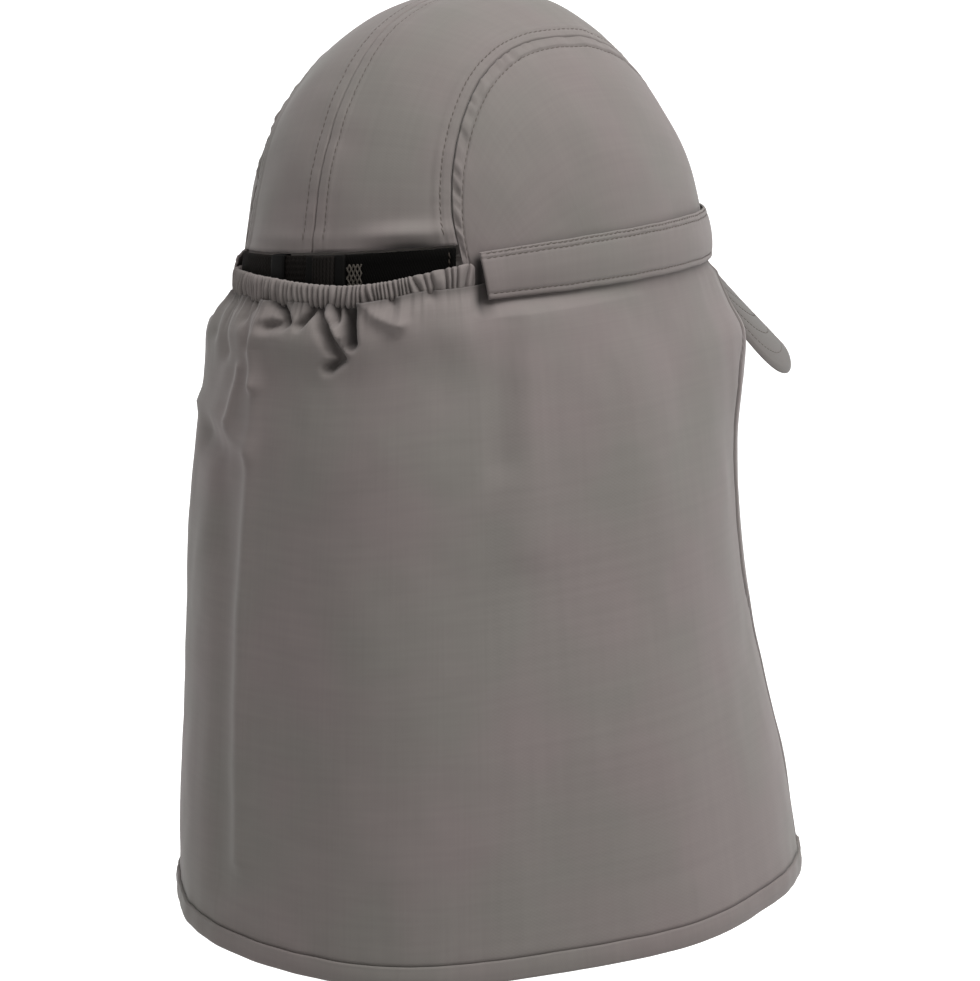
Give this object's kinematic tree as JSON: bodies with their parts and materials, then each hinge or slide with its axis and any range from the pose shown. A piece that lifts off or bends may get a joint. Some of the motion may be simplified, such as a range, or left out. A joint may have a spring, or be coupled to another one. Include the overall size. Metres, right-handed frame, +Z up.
{
  "type": "sun cap with neck flap",
  "caption": "Soft panelled cap with an arched peak, an adjusting strap across the back and a long gathered neck flap.",
  "frame": {"origin": "centre of the head opening, in the plane of the crown's lower edge, where the head holds the cap", "axes": "+Z up along the head, -Y forwards along the peak, -X towards the wearer's right"},
  "size_m": [0.224, 0.2888, 0.3498],
  "materials": {
    "crown_cloth": "fine plain weave synthetic, matt with a faint sheen",
    "peak_cloth": "fine plain weave drawn over a stiff peak, matt",
    "band_cloth": "folded and topstitched plain weave, matt",
    "flap_cloth": "fine plain weave synthetic, matt with a faint sheen",
    "hem_cloth": "folded binding with one row of stitches, matt",
    "webbing": "black ribbed webbing, matt",
    "slider_plastic": "black moulded plastic, satin"
  },
  "bodies": {
    "root": {"crown_centre_left": "crown_cloth", "crown_centre_right": "crown_cloth", "crown_side_left": "crown_cloth", "crown_side_right": "crown_cloth", "peak": "peak_cloth", "band_left": "band_cloth", "band_right": "band_cloth", "flap_casing": "flap_cloth", "neck_flap": "flap_cloth", "hem_binding": "hem_cloth", "strap_left": "webbing", "strap_right": "webbing", "strap_slider": "slider_plastic", "strap_keeper": "slider_plastic"}
  },
  "joints": []
}
